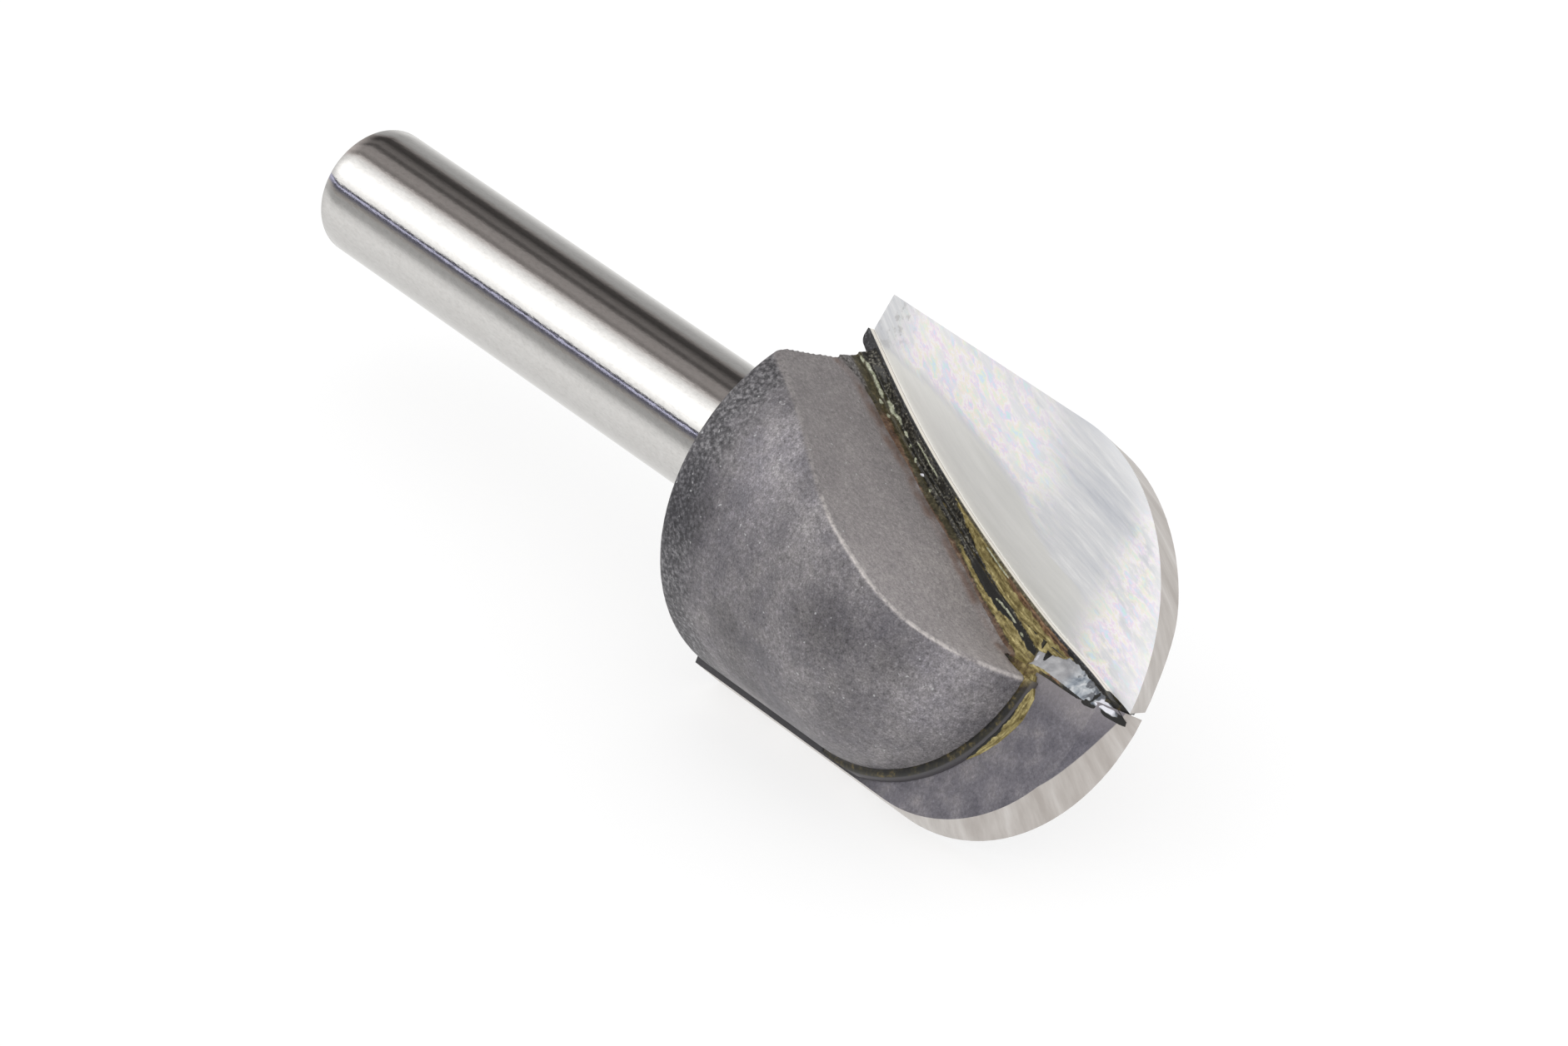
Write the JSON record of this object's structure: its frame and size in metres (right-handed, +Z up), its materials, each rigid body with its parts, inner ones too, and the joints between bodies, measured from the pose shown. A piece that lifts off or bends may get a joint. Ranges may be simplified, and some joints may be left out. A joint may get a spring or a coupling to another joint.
{
  "type": "ball nose router bit",
  "caption": "Ball nose router bit: turned steel head and plain round shank in one piece, with brazed carbide cutting tips that shape a round-bottomed groove.",
  "frame": {"origin": "bottom centre of the bounding box, on the surface the bit lies on", "axes": "+X along the tool axis towards the nose, +Z up with the bit lying on its side as it comes to rest, +Y across"},
  "size_m": [0.0572, 0.0176, 0.0168],
  "materials": {
    "steel": "satin",
    "carbide": "satin",
    "braze": "satin"
  },
  "bodies": {
    "root": {"shank_body": "steel", "carbide_tip_a": "carbide", "carbide_tip_b": "carbide", "braze_joint_a": "braze", "braze_joint_b": "braze"}
  },
  "joints": []
}
